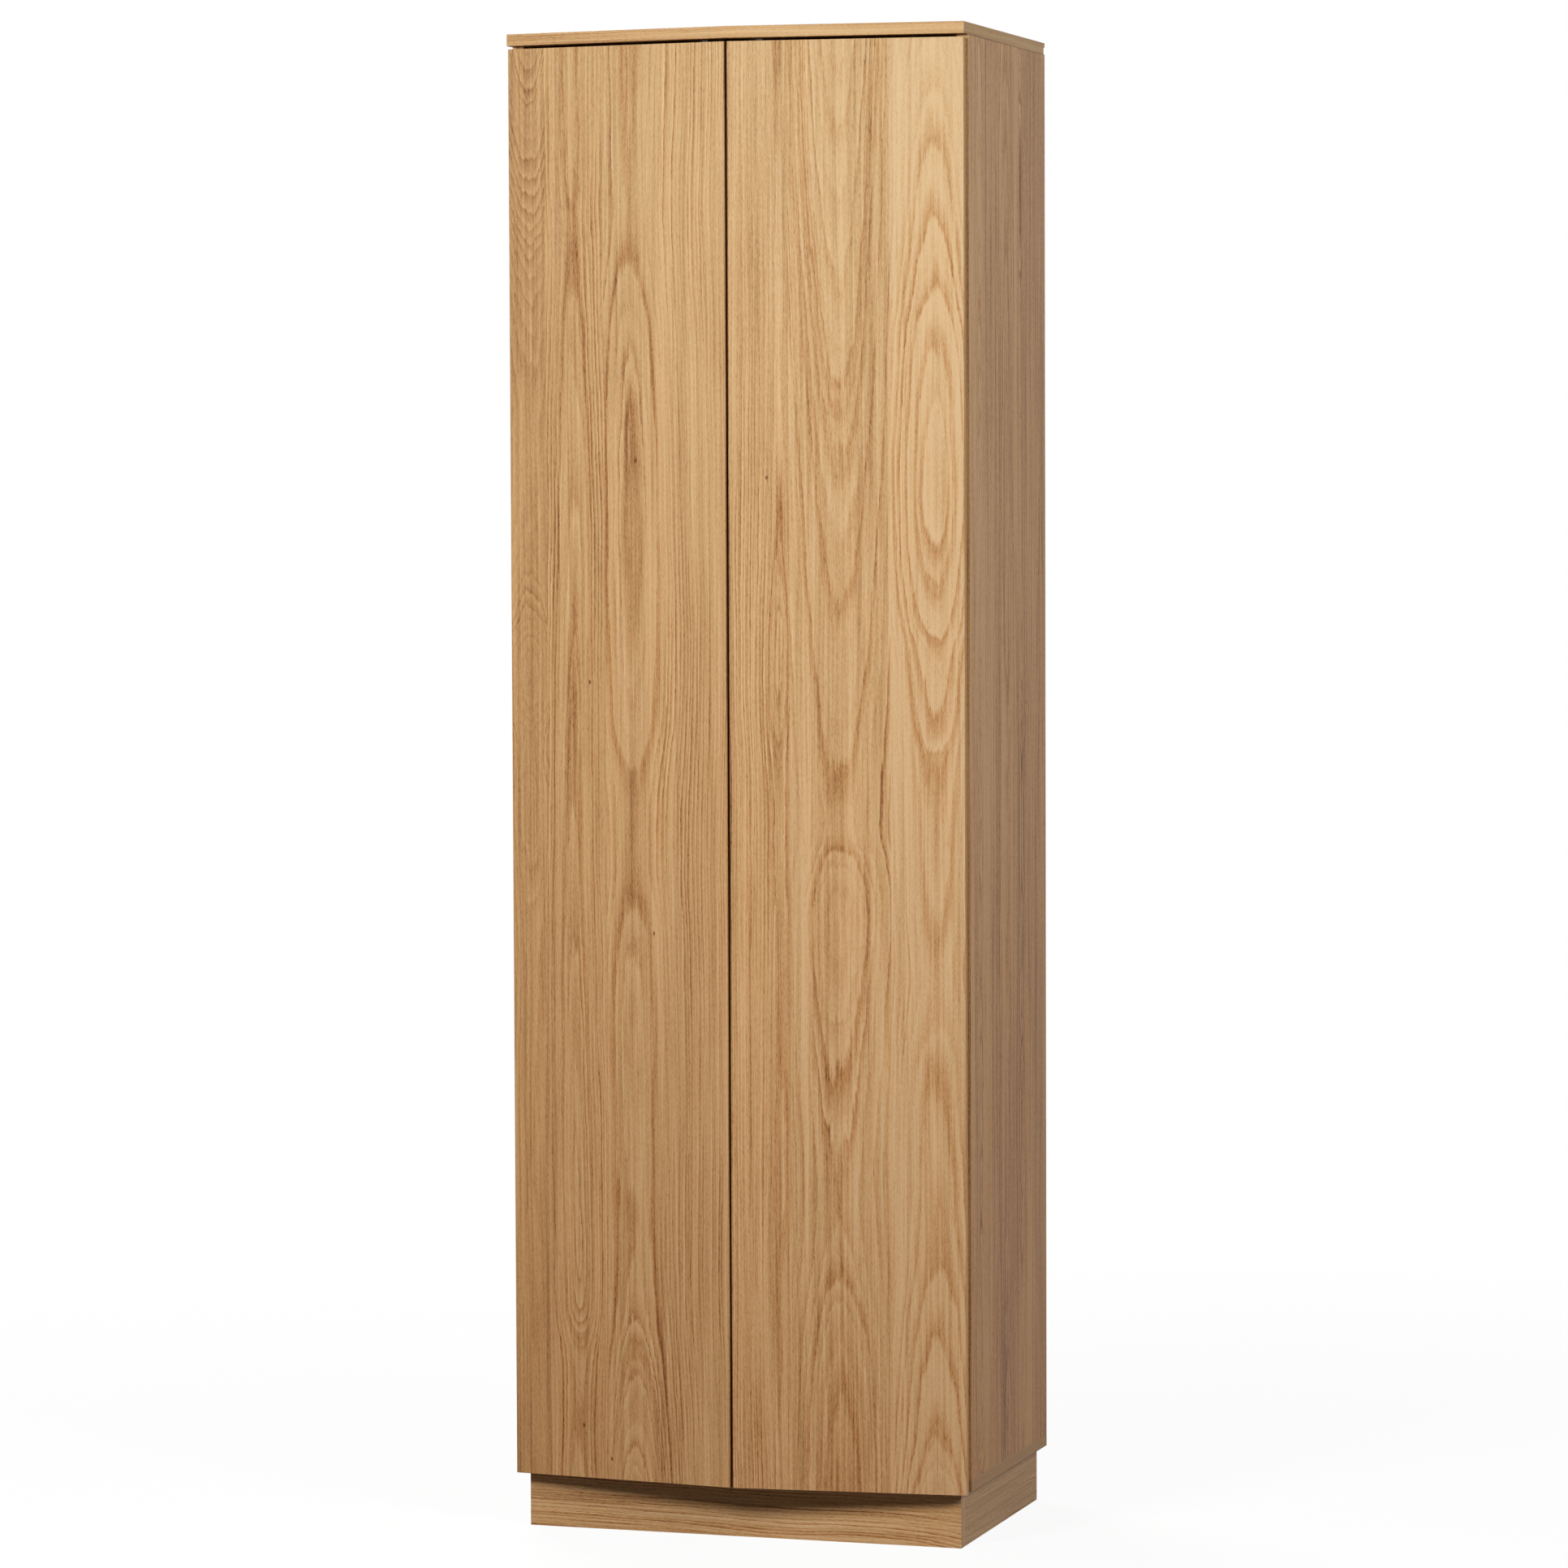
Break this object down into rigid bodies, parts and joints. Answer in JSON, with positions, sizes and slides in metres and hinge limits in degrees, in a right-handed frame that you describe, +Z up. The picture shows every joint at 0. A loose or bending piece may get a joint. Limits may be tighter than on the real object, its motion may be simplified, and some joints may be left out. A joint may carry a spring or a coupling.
{
  "type": "tall cabinet",
  "caption": "Tall free-standing oak cupboard with a shallow V-shaped front of flat hinged doors, a lid that follows the V, internal shelves and a recessed plinth.",
  "frame": {"origin": "centre of the footprint's bounding box, on the floor", "axes": "+Z up, the doors face -Y, +X is to the right seen from the front"},
  "size_m": [0.6, 0.41, 1.9],
  "materials": {
    "oak_front": "matt lacquered oak veneer, vertical grain",
    "oak_case": "matt lacquered oak veneer, vertical grain",
    "oak_lid": "matt lacquered oak veneer, grain along the width",
    "oak_shelf": "matt lacquered oak veneer, grain along the width",
    "oak_back": "thin oak-veneered sheet, vertical grain",
    "oak_plinth": "matt lacquered oak veneer, horizontal grain",
    "raw_wood": "plain beech and spruce, unfinished",
    "nickel_steel": "nickel-plated pressed steel",
    "zinc_steel": "zinc-plated steel",
    "latch_plastic": "grey moulded plastic"
  },
  "bodies": {
    "root": {"adjustable_shelf_1": "oak_shelf", "adjustable_shelf_2": "oak_shelf", "adjustable_shelf_3": "oak_shelf", "adjustable_shelf_4": "oak_shelf", "back_panel": "oak_back", "back_panel_screws": "zinc_steel", "bottom_panel": "oak_case", "cam_bolts": "zinc_steel", "cam_locks": "zinc_steel", "clamp_screws_left": "zinc_steel", "clamp_screws_right": "zinc_steel", "fixed_shelf": "oak_shelf", "hinge_arms_left": "nickel_steel", "hinge_arms_right": "nickel_steel", "hinge_plates_left": "nickel_steel", "hinge_plates_right": "nickel_steel", "latch_housings_left": "latch_plastic", "latch_housings_right": "latch_plastic", "latch_screws_left": "zinc_steel", "latch_screws_right": "zinc_steel", "plate_screws_left": "zinc_steel", "plate_screws_right": "zinc_steel", "plinth_back": "oak_plinth", "plinth_block_screws": "zinc_steel", "plinth_corner_blocks": "raw_wood", "plinth_front": "oak_plinth", "plinth_side_left": "oak_plinth", "plinth_side_right": "oak_plinth", "shelf_pins": "nickel_steel", "side_panel_left": "oak_case", "side_panel_right": "oak_case", "top_panel": "oak_lid", "wooden_dowels": "raw_wood"},
    "door_left": {"door_panel_left": "oak_front", "hinge_cups_left": "nickel_steel", "hinge_pins_left": "zinc_steel", "cup_screws_left": "zinc_steel", "strike_discs_left": "zinc_steel"},
    "door_right": {"door_panel_right": "oak_front", "hinge_cups_right": "nickel_steel", "hinge_pins_right": "zinc_steel", "cup_screws_right": "zinc_steel", "strike_discs_right": "zinc_steel"},
    "plungers_left": {"latch_plungers_left": "latch_plastic"},
    "plungers_right": {"latch_plungers_right": "latch_plastic"}
  },
  "joints": [
    {"name": "door_left_hinge", "type": "hinge", "parent": "root", "child": "door_left", "pos_m": [-0.29074, -0.16639, 0.9756], "axis": [0, 0, -1], "range_deg": [0, 105]},
    {"name": "door_right_hinge", "type": "hinge", "parent": "root", "child": "door_right", "pos_m": [0.29074, -0.16639, 0.9756], "axis": [0, 0, 1], "range_deg": [0, 105]},
    {"name": "plungers_left_slide", "type": "slide", "parent": "root", "child": "plungers_left", "axis": [-0.0995, -0.995, 0], "range_m": [0, 0.014]},
    {"name": "plungers_right_slide", "type": "slide", "parent": "root", "child": "plungers_right", "axis": [0.0995, -0.995, 0], "range_m": [0, 0.014]}
  ],
  "couplings": [
    {"joint": "plungers_left_slide", "follows": "door_left_hinge", "m_per_rad": 0.0076},
    {"joint": "plungers_right_slide", "follows": "door_right_hinge", "m_per_rad": 0.0076}
  ]
}
